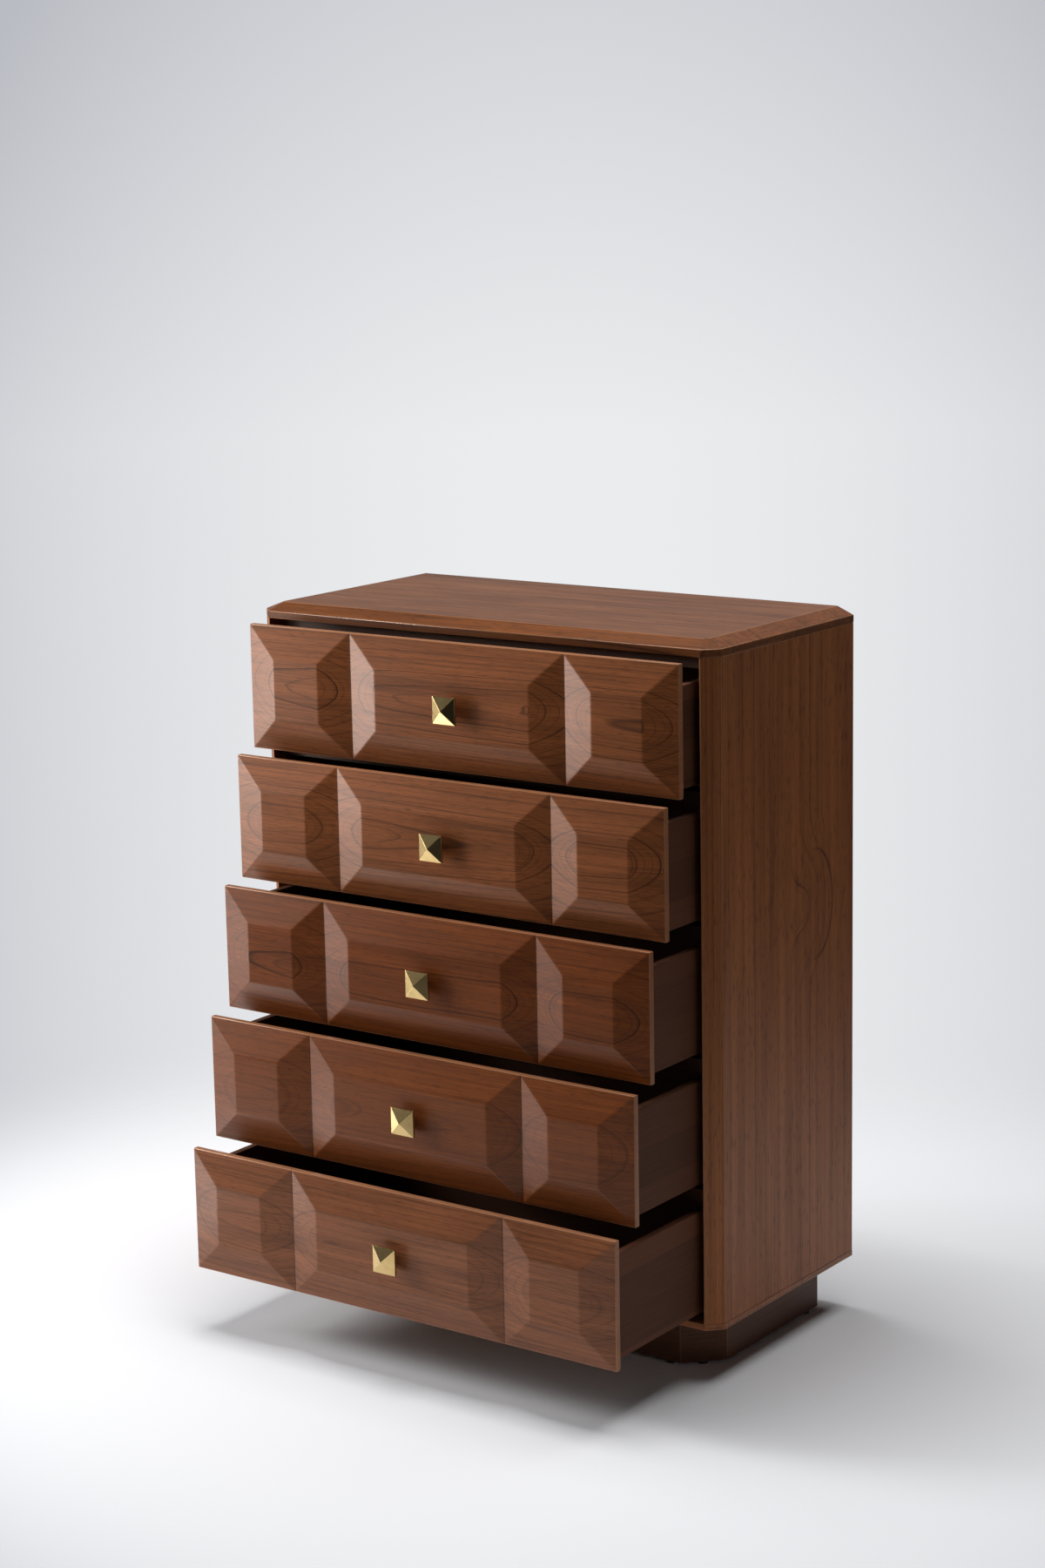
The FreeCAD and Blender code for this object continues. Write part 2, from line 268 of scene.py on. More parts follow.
def soft_box(name, place, target, size, power):
    """A rectangular soft light that faces a target. Sizes are in millimetres and power in watts."""
    lamp = bpy.data.objects.new(name, bpy.data.lights.new(name, "AREA"))
    lamp.data.shape = "RECTANGLE"
    lamp.data.size, lamp.data.size_y = size[0] * MM, size[1] * MM
    lamp.data.energy = power
    aim = (Vector(target) - Vector(place)).to_track_quat("-Z", "Y").to_matrix().to_4x4()
    lamp.matrix_world = Matrix.Translation(Vector(place) * MM) @ aim
    lamp.visible_camera = False
    bpy.context.scene.collection.objects.link(lamp)


for name, angle, distance, height, size, power in LEFT_BOXES:
    soft_box(name, on_the_left(angle, distance, height), (0, DRAWERS_Y, height), size, power)
for name, angle, distance, size, power in FLOOR_GLOWS:
    place = on_the_left(angle, distance, GLOW_HEIGHT)
    soft_box(name, place, place + Vector((0, 0, 1)), size, power)
for lamp_row in OTHER_BOXES:
    soft_box(*lamp_row)
print("lamps", len(LEFT_BOXES) + len(FLOOR_GLOWS) + len(OTHER_BOXES))

# %% [markdown]
# ## Dark studio
# The rest of the studio is dark, which keeps the brown deep. A black world could do that, but it would also
# be the backdrop. So a tent of black cloth does it, and only reflections see it. Behind the chest it has two
# grey walls. The left one is the soft gleam on the top, and the right one, which is darker, is the faint
# haze on the side panel.

# %% Tent of cloth
TENT_RADIUS, TENT_HEIGHT, TENT_DROP = 4600.0, 4500.0, 20.0
TENT_SIDES = 72
# Each grey wall stands between two azimuths, in degrees: first the left wall, then the right one.
GREY_WALLS = ((85.0, 170.0), (25.0, 85.0))
# The light of the black cloth, of the left wall and of the right wall.
CLOTH_LIGHTS = (0.008, 0.25, 0.10)
MERGE_DISTANCE = 0.01
# A face looks along an axis when this share or more of its normal lies along it.
FACING = 0.9

bm = bmesh.new()
corners = ((0, -TENT_DROP), (TENT_RADIUS, -TENT_DROP), (TENT_RADIUS, TENT_HEIGHT), (0, TENT_HEIGHT))
profile = [bm.verts.new((reach * MM, 0, height * MM)) for reach, height in corners]
hems = [bm.edges.new(pair) for pair in zip(profile, profile[1:])]
bmesh.ops.spin(bm, geom=profile + hems, cent=(0, 0, 0), axis=(0, 0, 1), angle=2 * pi, steps=TENT_SIDES,
               use_merge=True)
bmesh.ops.remove_doubles(bm, verts=bm.verts, dist=MERGE_DISTANCE * MM)
bmesh.ops.recalc_face_normals(bm, faces=bm.faces)
for face in bm.faces:
    middle = face.calc_center_median()
    azimuth = degrees(atan2(middle.y, middle.x))
    for i, (start, end) in enumerate(GREY_WALLS, 1):
        if abs(face.normal.z) < FACING and start < azimuth < end:
            face.material_index = i
tent_mesh = bpy.data.meshes.new("tent")
bm.to_mesh(tent_mesh)
bm.free()
tent = bpy.data.objects.new("tent", tent_mesh)
tent.visible_camera = tent.visible_diffuse = tent.visible_shadow = False
bpy.context.scene.collection.objects.link(tent)
for glow in CLOTH_LIGHTS:
    cloth, tree = new_material("studio cloth %.3f" % glow)
    lit = add(tree, "Emission", inputs={"Color": grey(1.0), "Strength": glow})
    add(tree, "OutputMaterial", inputs={"Surface": lit.outputs[0]})
    tent_mesh.materials.append(cloth)
print("tent faces", len(tent_mesh.polygons))

# %% [markdown]
# ## Walnut
# Walnut is a brown hardwood with fine dark growth rings, long fibres and short open pores. Here it is
# planed, stained and finished in satin lacquer, which gives the eye a soft white sheen over a warm brown.
# A flat picture of grain would break at every carved facet. So the rings are solid: the distance from the
# tree's pith, a line along the plank, is cut into ring widths, and each facet shows the loops that a chisel
# would lay bare.
# A strong year shows as a thin dark line that stands apart. The years between are closer and paler, so the
# same steps are used twice, with a wide and a narrow ring.

# %% Growth rings
# A stop is a place between one year's start and its end, and the line's strength there.
YEAR_STOPS = ((0.0, 0.0), (1.0, 0.0), (0.78, 0.04), (0.9, 0.22), (0.96, 1.0))
# Years are counted from the pith. Their widths change about every two years, and their strength every year.
SEASON_SCALE, SEASON_SHIFT = 0.45, 1.6
VIGOUR_SCALE, FAINTEST_SHARE = 0.83, 0.35
# Most of a noise lies between these values.
NOISE_LOW, NOISE_HIGH = 0.3, 0.7


def ring_lines(tree, radius, ring, first, strongest):
    """Thin dark lines at uneven radii, as a share of the line's colour. A ring's width is in millimetres."""
    count = add(tree, "Math", {"operation": "DIVIDE"}, {0: radius, 1: ring * MM})
    count = add(tree, "Math", {"operation": "ADD"}, {0: count.outputs[0], 1: first})
    season = add(tree, "TexNoise", {"noise_dimensions": "1D"},
                 {"W": count.outputs[0], "Scale": SEASON_SCALE, "Detail": 0.0})
    uneven = add(tree, "Math", {"operation": "MULTIPLY_ADD"},
                 {0: season.outputs["Fac"], 1: SEASON_SHIFT, 2: count.outputs[0]})
    phase = add(tree, "Math", {"operation": "FRACT"}, {0: uneven.outputs[0]})
    growth = add(tree, "ValToRGB", inputs={"Fac": phase.outputs[0]},
                 stops=[(place, grey(share)) for place, share in YEAR_STOPS])
    vigour = add(tree, "TexNoise", {"noise_dimensions": "1D"},
                 {"W": count.outputs[0], "Scale": VIGOUR_SCALE, "Detail": 1.0})
    strength = add(tree, "MapRange",
                   inputs={"Value": vigour.outputs["Fac"], "From Min": NOISE_LOW, "From Max": NOISE_HIGH,
                           "To Min": FAINTEST_SHARE * strongest, "To Max": strongest})
    lines = add(tree, "Math", {"operation": "MULTIPLY"},
                {0: growth.outputs["Color"], 1: strength.outputs[0]})
    return lines.outputs[0]


print("ring lines ready, with", len(YEAR_STOPS), "stops for a year")

# %% [markdown]
# ### Grain
# No tree is straight: slow noise bends the pith, and a finer one makes the lines waver. Fibres are streaks
# that run far along the grain and a fair way into the wood, but only a little across it, so they stay
# streaks on a sloping facet too. One stretched noise could stand for all of this, but each of these has a
# size of its own, so each gets its own noise.

# %% Noises of a plank
# Sizes are along the grain, into the wood and across. Real fibres and pores are finer than a pixel of the
# render, so both are drawn coarser than they are, as wide as they need to be to show.
DRIFT_CELL, DRIFT_REACH = (620.0, 190.0, 190.0), 22.0
WAVER_CELL, WAVER_REACH = (110.0, 40.0, 26.0), 2.0
FIBRE_CELL = (160.0, 16.0, 2.0)
PORE_CELL = (20.0, 5.0, 1.4)
MOTTLE_CELL = (320.0, 60.0, 24.0)


def cells(size):
    """Scales that make one noise cell as large as the given size in millimetres."""
    return [1 / (side * MM) for side in size]


def plank_noises(tree, plank, seed, wander):
    """The noises of a plank by name. Straight wood, which wanders less, has longer fibres."""
    fibre_cell = (FIBRE_CELL[0] / wander, *FIBRE_CELL[1:])
    noises = {}
    for key, cell, detail in (("drift", DRIFT_CELL, 1.0), ("waver", WAVER_CELL, 2.0),
                              ("fibre", fibre_cell, 3.0), ("pore", PORE_CELL, 1.0),
                              ("mottle", MOTTLE_CELL, 2.0)):
        scaled = add(tree, "VectorMath", {"operation": "MULTIPLY"}, {0: plank, 1: cells(cell)})
        noises[key] = add(tree, "TexNoise", {"noise_dimensions": "4D"},
                          {"Vector": scaled.outputs[0], "W": seed, "Scale": 1.0, "Detail": detail})
    return noises


def pith_distance(tree, plank, noises, wander):
    """The distance from a pith that drifts and wavers."""
    drift, waver = wander * DRIFT_REACH * MM, WAVER_REACH * MM
    drifted = add(tree, "VectorMath", {"operation": "MULTIPLY_ADD"},
                  {0: noises["drift"].outputs["Color"], 1: (0, drift, drift), 2: plank})
    wavering = add(tree, "VectorMath", {"operation": "MULTIPLY_ADD"},
                   {0: noises["waver"].outputs["Color"], 1: (0, waver, waver), 2: drifted.outputs[0]})
    across = add(tree, "VectorMath", {"operation": "MULTIPLY"}, {0: wavering.outputs[0], 1: (0, 1, 1)})
    return add(tree, "VectorMath", {"operation": "LENGTH"}, {0: across.outputs[0]}).outputs["Value"]


print("grain ready: drift", DRIFT_REACH, "mm, waver", WAVER_REACH, "mm")

# %% [markdown]
# ### A knot
# A knot is the root of a branch. It could be a dark spot laid over the grain, but then the rings would run
# straight through it. Here they swell round it, because the radius is lifted there, and a dark line of bark
# shows on the side where the branch grew in.

# %% Rings round a knot
KNOT_REACH_SHARE, BARK_SHARE = 1.8, 0.05
BARK_FADE_START, BARK_FADE_END = -0.3, 0.5


def round_a_knot(tree, radius, position, place, size, rise):
    """Lifts the radius round a knot and draws the dark line of its bark on one side.
    Lengths are in millimetres. Returns the lifted radius and the line's share."""
    away = add(tree, "VectorMath", {"operation": "SUBTRACT"}, {0: position, 1: [side * MM for side in place]})
    away = add(tree, "VectorMath", {"operation": "MULTIPLY"}, {0: away.outputs[0], 1: cells(size)})
    reach = add(tree, "VectorMath", {"operation": "LENGTH"}, {0: away.outputs[0]})
    lift = add(tree, "MapRange", {"interpolation_type": "SMOOTHSTEP"},
               {"Value": reach.outputs["Value"], "From Max": KNOT_REACH_SHARE,
                "To Min": rise * MM, "To Max": 0.0})
    lifted = add(tree, "Math", {"operation": "ADD"}, {0: radius, 1: lift.outputs[0]})
    off_bark = add(tree, "Math", {"operation": "SUBTRACT"}, {0: reach.outputs["Value"], 1: 1.0})
    off_bark = add(tree, "Math", {"operation": "ABSOLUTE"}, {0: off_bark.outputs[0]})
    bark = add(tree, "MapRange", inputs={"Value": off_bark.outputs[0], "From Max": BARK_SHARE,
                                         "To Min": 1.0, "To Max": 0.0})
    sides = add(tree, "SeparateXYZ", inputs={0: away.outputs[0]})
    one_side = add(tree, "MapRange", inputs={"Value": sides.outputs["Y"], "From Min": BARK_FADE_START,
                                             "From Max": BARK_FADE_END})
    bark = add(tree, "Math", {"operation": "MULTIPLY"}, {0: bark.outputs[0], 1: one_side.outputs[0]})
    return lifted.outputs[0], bark.outputs[0]


print("a knot is felt to", KNOT_REACH_SHARE, "times its size")

# %% [markdown]
# ### Stain and lacquer
# Between the lines the stain takes unevenly, by fibre and in slow patches. Faces marked above zero are
# painted lighter towards a pale tan. On eased edges this is partly wear, where the stain is thinner, and
# partly painted highlight, where the edge catches the light. On the fronts' top and end faces it is painted
# highlight. Faces marked below zero, in the valleys between carved blocks, are painted darker towards the
# line colour. Such marks could be drawn in a picture, but an attribute that is set where an edge is eased
# always fits it.
# The lacquer follows the fibres a little in sheen and height, as it does on brushed wood.

# %% Colour and sheen of the wood
FIBRE_GAIN = 1.5
# A pale tan that marked faces are painted towards: partly wear, partly painted highlight.
WEAR_AND_HIGHLIGHT_TONE, WEAR_AND_HIGHLIGHT_SHARE = "#B07F5C", 0.6
# How far faces marked below zero, in the valleys, are darkened towards the line colour.
VALLEY_DARK_SHARE = 0.85
SATIN_ROUGHNESS, SMOOTHER, ROUGHER = 0.29, 0.02, 0.03
GRAIN_BUMP, GRAIN_DEPTH = 0.03, 0.4
LACQUER_IOR = 1.40
SHEEN_TINT = "#FFE4D4"


def stained_ground(tree, noises, wander, light, dark):
    """The colour between the ring lines."""
    streaks = add(tree, "Math", {"operation": "MULTIPLY_ADD"},
                  {0: noises["fibre"].outputs["Fac"], 1: FIBRE_GAIN, 2: (1 - wander - FIBRE_GAIN) / 2})
    share = add(tree, "Math", {"operation": "MULTIPLY_ADD", "use_clamp": True},
                {0: noises["mottle"].outputs["Fac"], 1: wander, 2: streaks.outputs[0]})
    return add(tree, "Mix", {"data_type": "RGBA"}, {0: share.outputs[0], 6: light, 7: dark}).outputs[2]


def paint_wear_highlight_valley_dark(tree, colour, line):
    """Paints a colour lighter where a face is marked above zero, as wear and highlight, and darker below
    zero.
    """
    wear_highlight_valley_dark = add(tree, "Attribute", {"attribute_name": "wear_highlight_valley_dark"})
    lighter_share = add(tree, "Math", {"operation": "MULTIPLY"}, {0: wear_highlight_valley_dark.outputs["Fac"], 1: WEAR_AND_HIGHLIGHT_SHARE})
    worn_and_highlit = add(tree, "Mix", {"data_type": "RGBA"}, {0: lighter_share.outputs[0], 6: colour, 7: linear(WEAR_AND_HIGHLIGHT_TONE)})
    valley_darkening = add(tree, "Math", {"operation": "MULTIPLY"}, {0: wear_highlight_valley_dark.outputs["Fac"], 1: -VALLEY_DARK_SHARE})
    marked_colour = add(tree, "Mix", {"data_type": "RGBA"}, {0: valley_darkening.outputs[0], 6: worn_and_highlit.outputs[2], 7: line})
    return marked_colour.outputs[2]


def satin_lacquer(tree, colour, fibre, pores, roughness):
    """Lacquer over a colour, with fibres that stand up a little and pores that dip."""
    sheen = add(tree, "MapRange", inputs={"Value": fibre, "From Min": NOISE_LOW, "From Max": NOISE_HIGH,
                                          "To Min": roughness - SMOOTHER, "To Max": roughness + ROUGHER})
    height = add(tree, "Math", {"operation": "SUBTRACT"}, {0: fibre, 1: pores})
    bump = add(tree, "Bump", inputs={"Strength": GRAIN_BUMP, "Distance": GRAIN_DEPTH * MM,
                                     "Height": height.outputs[0]})
    shader = add(tree, "BsdfPrincipled", inputs={"Base Color": colour, "Roughness": sheen.outputs[0],
                                                 "Normal": bump.outputs[0], "IOR": LACQUER_IOR,
                                                 "Specular Tint": linear(SHEEN_TINT)})
    add(tree, "OutputMaterial", inputs={"Surface": shader.outputs[0]})


print("lacquer roughness", SATIN_ROUGHNESS)

# %% [markdown]
# ### A plank
# A plank is sawn lengthways from a trunk, and it shows rings, pores and stain together. Each face could be
# given its own picture, but here a plank is given by where its pith lies and how its grain is turned. That
# is what a sawyer chooses, and the figure on every face follows from it.

# %% A plank of walnut
FINE_RING_SHARE = 0.31
STRONG_LINE, FINE_LINE = 1.0, 0.7
PORE_START, PORE_FULL, PORE_SHARE = 0.56, 0.70, 0.4


def walnut(name, seed, pith, turn_degrees, ring, tones, strength=1.0, roughness=SATIN_ROUGHNESS,
           wander=1.0, knot=None):
    """Walnut with its pith through a place, its grain along the turned X axis and rings of a width, in
    millimetres. Strength is that of the ring lines, and wander the share by which rings and tone stray.
    A knot is a place, a size and the rise of the rings there."""
    light, dark, line = [linear(tone) for tone in tones]
    made, tree = new_material(name)
    position = add(tree, "TexCoord").outputs["Object"]
    plank = add(tree, "Mapping", {"vector_type": "TEXTURE"},
                {"Vector": position, "Location": [side * MM for side in pith],
                 "Rotation": [radians(angle) for angle in turn_degrees]}).outputs[0]
    noises = plank_noises(tree, plank, seed, wander)
    radius = pith_distance(tree, plank, noises, wander)
    bark = 0.0
    if knot:
        radius, bark = round_a_knot(tree, radius, position, *knot)
    lines = add(tree, "Math", {"operation": "MAXIMUM"},
                {0: ring_lines(tree, radius, ring, seed, strength * STRONG_LINE),
                 1: ring_lines(tree, radius, ring * FINE_RING_SHARE, seed, strength * FINE_LINE)})
    lines = add(tree, "Math", {"operation": "MAXIMUM"}, {0: lines.outputs[0], 1: bark})
    ground = stained_ground(tree, noises, wander, light, dark)
    ringed = add(tree, "Mix", {"data_type": "RGBA"}, {0: lines.outputs[0], 6: ground, 7: line})
    pores = add(tree, "MapRange", inputs={"Value": noises["pore"].outputs["Fac"], "From Min": PORE_START,
                                          "From Max": PORE_FULL, "To Max": PORE_SHARE})
    pored = add(tree, "Mix", {"data_type": "RGBA"}, {0: pores.outputs[0], 6: ringed.outputs[2], 7: line})
    # Marked faces are painted lighter, as wear and painted highlight, and darker in the valleys.
    marked_colour = paint_wear_highlight_valley_dark(tree, pored.outputs[2], line)
    satin_lacquer(tree, marked_colour, noises["fibre"].outputs["Fac"], pores.outputs[0], roughness)
    return made


print("walnut ready, with fine rings of", FINE_RING_SHARE, "of the strong ones")

# %% [markdown]
# ## How a piece takes its CAD node's place
# A dressed piece stands exactly where its CAD node stands and moves with the same body. Those facts could
# be typed again, but they are read from the imported record, so neither can differ. Nodes whose shape is
# already right keep their own mesh and only get a finish.


def dress(bm, name, node, material):
    """Makes a piece of a bmesh that stands for a CAD node."""
    mesh = bpy.data.meshes.new(name)
    bm.to_mesh(mesh)
    bm.free()
    mesh.materials.append(material)
    piece = bpy.data.objects.new(name, mesh)
    bpy.context.scene.collection.objects.link(piece)
    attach(piece, body_of(frame["nodes"][node])[0])
    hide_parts(node)
    return piece


def finish(node, material):
    """Gives a CAD node a finish."""
    slots = frame["nodes"][node].data.materials
    slots.clear()
    slots.append(material)


def ease(bm, edges, width, steps, wear_and_highlight):
    """Rounds edges over by a width in millimetres. New faces are marked lighter above 0, as wear and painted
    highlight, and darker below 0.
    """
    wear_highlight_valley_dark = bm.faces.layers.float.get("wear_highlight_valley_dark") or bm.faces.layers.float.new("wear_highlight_valley_dark")
    made = bmesh.ops.bevel(bm, geom=edges, offset=width * MM, offset_type="OFFSET", affect="EDGES",
                           segments=steps, profile=0.5, material=-1, clamp_overlap=True)
    for face in made["faces"]:
        face[wear_highlight_valley_dark] = wear_and_highlight
        face.smooth = True


# %% [markdown]
# ## Carved drawer fronts
# Each front is a thick board with three raised blocks: a narrow, a wide and a narrow one. On the real chest
# a shaped cutter takes the slopes down to a thin edge. It could be drawn as facets, but here it is made as
# the joiner thinks of it: a board, cut into three across, each part raised and drawn in to its flat. The
# ridges are then eased, as sanding leaves them, and the outer edges a little less, so that they catch a line
# of light. Those outer edges are also painted lighter, partly as wear and partly as painted highlight, and
# the fronts' top and end faces are painted lighter as painted highlight. The valleys between the blocks are
# eased a little and painted darker towards the line colour. The mitres stay sharp near the blocks' corners,
# where the tool runs out.

# %% A carved front
EDGE_THICKNESS = 10.0
BLOCK_RAISE = 13.0
SLOPE_RUN, SLOPE_RISE = 56.0, 51.0
BLOCK_BORDER_SHARES = (0.25, 0.75)
RIDGE_EASE, EDGE_EASE, VALLEY_EASE = 2.0, 1.4, 0.8
RIDGE_STEPS, EDGE_STEPS, VALLEY_STEPS = 5, 3, 1
OUTER_ANGLE, VALLEY_ANGLE = radians(60), radians(-20)
# The second share paints the fronts' top and end faces lighter, as painted highlight.
EASED_MITRE_SHARE, TOP_AND_END_HIGHLIGHT_SHARE = 0.94, 0.6


def raise_blocks(bm, low, size):
    """Cuts a board's face in three and raises each part, drawn in to its flat. Returns the flats."""
    for share in BLOCK_BORDER_SHARES:
        bmesh.ops.bisect_plane(bm, geom=bm.verts[:] + bm.edges[:] + bm.faces[:],
                               plane_co=(low.x + share * size.x, 0, 0), plane_no=(1, 0, 0))
    faces = [face for face in bm.faces if face.normal.y < -FACING]
    flats = bmesh.ops.extrude_discrete_faces(bm, faces=faces)["faces"]
    for flat in flats:
        middle = flat.calc_center_median()
        xs = [vert.co.x for vert in flat.verts]
        width = max(xs) - min(xs)
        shrink = (1 - 2 * SLOPE_RUN * MM / width, 1, 1 - 2 * SLOPE_RISE * MM / size.z)
        bmesh.ops.scale(bm, vec=shrink, verts=flat.verts, space=Matrix.Translation(-middle))
        bmesh.ops.translate(bm, vec=(0, -BLOCK_RAISE * MM, 0), verts=flat.verts)
    return flats


def sand_front(bm, flats):
    """Eases ridges, then outer edges, then valleys, the order in which each keeps its width."""
    corners = {vert for flat in flats for vert in flat.verts}
    for mitre in [e for e in bm.edges if len(corners.intersection(e.verts)) == 1]:
        bmesh.utils.edge_split(mitre, corners.intersection(mitre.verts).pop(), EASED_MITRE_SHARE)
    ridges = [e for e in bm.edges if corners.intersection(e.verts)]
    ease(bm, ridges, RIDGE_EASE, RIDGE_STEPS, 0.0)
    outer = [e for e in bm.edges if e.is_manifold and e.calc_face_angle_signed() > OUTER_ANGLE]
    # Outer edges get the full mark: painted lighter, partly as wear and partly as painted highlight.
    ease(bm, outer, EDGE_EASE, EDGE_STEPS, 1.0)
    valleys = [e for e in bm.edges if e.is_manifold and e.calc_face_angle_signed() < VALLEY_ANGLE]
    # Valleys are marked below zero, which paints them darker towards the line colour.
    ease(bm, valleys, VALLEY_EASE, VALLEY_STEPS, -1.0)
    # The fronts' top and end faces are painted lighter, as painted highlight.
    wear_highlight_valley_dark = bm.faces.layers.float["wear_highlight_valley_dark"]
    for face in bm.faces:
        if face.normal.z > FACING or abs(face.normal.x) > FACING:
            face[wear_highlight_valley_dark] = TOP_AND_END_HIGHLIGHT_SHARE


def carved_front(node):
    """A board with three raised blocks, as large as the CAD front."""
    low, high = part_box(node)
    size = high - low
    middle = (low + high) / 2
    edge = EDGE_THICKNESS * MM
    bm = bmesh.new()
    bmesh.ops.create_cube(bm, size=1.0)
    bmesh.ops.scale(bm, vec=(size.x, edge, size.z), verts=bm.verts)
    bmesh.ops.translate(bm, vec=(middle.x, high.y - edge / 2, middle.z), verts=bm.verts)
    sand_front(bm, raise_blocks(bm, low, size))
    return bm


print("a front is carved from a", EDGE_THICKNESS + BLOCK_RAISE, "mm board")

# %% [markdown]
# ### One plank for each front
# The five fronts could share one material, but they are cut from five planks, so no two show the same
# figure: each has its own ring width, strength of line and tone. Each pith lies a little in front of its
# front's face, so the rings close into ovals on the end facets and crowd on the slopes above and below, as
# they do in the photograph. A pith that leans a degree shifts the ovals.

# %% Five walnut fronts
WARM_TONES = ("#A25F37", "#653A1F", "#27140A")
MILD_TONES = ("#894A24", "#552B12", "#210E06")
DEEP_TONES = ("#894820", "#55290F", "#210E06")
PALE_TONES = ("#985D3C", "#5E3823", "#28150C")
# A row holds where the pith lies (along, ahead, above), its lean in degrees, ring width, strength and tones.
FRONT_PLANKS = (
    ((0.0, 67.0, 20.0), (0.0, 0.7, 1.3), 11.0, 1.0, WARM_TONES),
    ((0.0, 52.0, 18.0), (0.0, -0.8, -1.0), 12.0, 1.0, WARM_TONES),
    ((0.0, 62.0, 4.0), (0.0, 0.5, 0.8), 13.0, 0.9, DEEP_TONES),
    ((0.0, 80.0, 10.0), (0.0, -0.9, -0.8), 15.0, 0.7, MILD_TONES),
    ((0.0, 58.0, 12.0), (0.0, 0.6, 1.0), 14.0, 0.8, PALE_TONES),
)
fronts = []
for number, ((along, ahead, above), leaning, ring, strength, tones) in enumerate(FRONT_PLANKS, 1):
    node = "drawer_%d_front" % number
    low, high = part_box(node)
    pith = (along, low.y / MM - ahead, (low.z + high.z) / 2 / MM + above)
    plank = walnut("carved walnut %d" % number, number, pith, leaning, ring, tones, strength)
    fronts.append(dress(carved_front(node), "drawer_%d_carved_front" % number, node, plank))
print("fronts", len(fronts), "faces each", len(fronts[0].data.polygons))

# %% [markdown]
# ## Brass
# The knobs are cast brass, filed flat and rubbed to a satin face, which gives the eye a soft yellow gleam
# with fine strokes and a little brown tarnish. A picture of brushed metal could do, but noise that is
# stretched along the strokes has no seam at the facets' edges.

# %% Satin brass
# Real strokes are about 0.05 mm wide. They are drawn ten times as wide, so that they show from close by.
BRUSH_CELL = (9.0, 9.0, 0.5)
TARNISH_CELL = 16.667
TARNISH_START, TARNISH_FULL, TARNISH_SHARE = 0.45, 0.75, 0.45
BRIGHT_BRASS, TARNISHED_BRASS = "#D9BC82", "#B08F56"
BRASS_SMOOTH, BRASS_ROUGH = 0.19, 0.24
STROKE_BUMP, STROKE_DEPTH = 0.01, 0.1

brass, tree = new_material("satin brass")
position = add(tree, "TexCoord").outputs["Object"]
brushed = add(tree, "VectorMath", {"operation": "MULTIPLY"}, {0: position, 1: cells(BRUSH_CELL)})
strokes = add(tree, "TexNoise", inputs={"Vector": brushed.outputs[0], "Scale": 1.0, "Detail": 2.0})
tarnish = add(tree, "TexNoise",
              inputs={"Vector": position, "Scale": 1 / (TARNISH_CELL * MM), "Detail": 3.0})
patina = add(tree, "MapRange", inputs={"Value": tarnish.outputs["Fac"], "From Min": TARNISH_START,
                                       "From Max": TARNISH_FULL, "To Max": TARNISH_SHARE})
tint = add(tree, "Mix", {"data_type": "RGBA"},
           {0: patina.outputs[0], 6: linear(BRIGHT_BRASS), 7: linear(TARNISHED_BRASS)})
satin = add(tree, "MapRange",
            inputs={"Value": strokes.outputs["Fac"], "To Min": BRASS_SMOOTH, "To Max": BRASS_ROUGH})
scratch = add(tree, "Bump", inputs={"Strength": STROKE_BUMP, "Distance": STROKE_DEPTH * MM,
                                    "Height": strokes.outputs["Fac"]})
shader = add(tree, "BsdfPrincipled", inputs={"Base Color": tint.outputs[2], "Metallic": 1.0,
                                             "Roughness": satin.outputs[0], "Normal": scratch.outputs[0]})
add(tree, "OutputMaterial", inputs={"Surface": shader.outputs[0]})
print("brass strokes", BRUSH_CELL, "mm")

# %% [markdown]
# ## Knobs
# Each knob is a square head with a low pyramid on a round stem. Its facets are bright or dark all over, by
# what they face, and its edges are a little round. A cone with four sides could make the pyramid, but a cube
# whose front face is drawn in to the tip keeps rim and facets in one mesh.

# %% Pyramid knobs
KNOB_RIM = 4.0
KNOB_PEAK = 8.1
KNOB_TIP = 0.8
KNOB_STEM, KNOB_STEM_SIDES = 16.0, 48
KNOB_EASE = 0.7
DRAWERS = range(1, len(FRONT_PLANKS) + 1)


def add_pyramid(bm, low, middle, size):
    """A square rim drawn in to a low pyramid, with eased edges."""
    rim = KNOB_RIM * MM
    bmesh.ops.create_cube(bm, size=1.0)
    bmesh.ops.scale(bm, vec=(size, rim, size), verts=bm.verts)
    bmesh.ops.translate(bm, vec=(middle.x, low.y + KNOB_PEAK * MM + rim / 2, middle.z), verts=bm.verts)
    bm.normal_update()
    face = min(bm.faces, key=lambda f: f.calc_center_median().y)
    peak = bmesh.ops.extrude_discrete_faces(bm, faces=[face])["faces"][0]
    tip = KNOB_TIP * MM / size
    bmesh.ops.scale(bm, vec=(tip, 1, tip), verts=peak.verts, space=Matrix.Translation(-middle))
    bmesh.ops.translate(bm, vec=(0, -KNOB_PEAK * MM, 0), verts=peak.verts)
    tip_verts = set(peak.verts)
    edges = [e for e in bm.edges if not tip_verts.issuperset(e.verts)]
    ease(bm, edges, KNOB_EASE, EDGE_STEPS, 0.0)


def pyramid_knob(node):
    """A pyramid head on a stem, as large as the CAD knob."""
    low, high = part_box(node)
    middle = (low + high) / 2
    bm = bmesh.new()
    add_pyramid(bm, low, middle, high.x - low.x)
    rim_back = low.y + (KNOB_PEAK + KNOB_RIM) * MM
    length = high.y - rim_back
    radius = KNOB_STEM / 2 * MM
    stem = bmesh.ops.create_cone(bm, cap_ends=True, segments=KNOB_STEM_SIDES, radius1=radius,
                                 radius2=radius, depth=length)["verts"]
    bmesh.ops.rotate(bm, verts=stem, matrix=Matrix.Rotation(pi / 2, 3, "X"))
    bmesh.ops.translate(bm, verts=stem, vec=(middle.x, rim_back + length / 2, middle.z))
    return bm


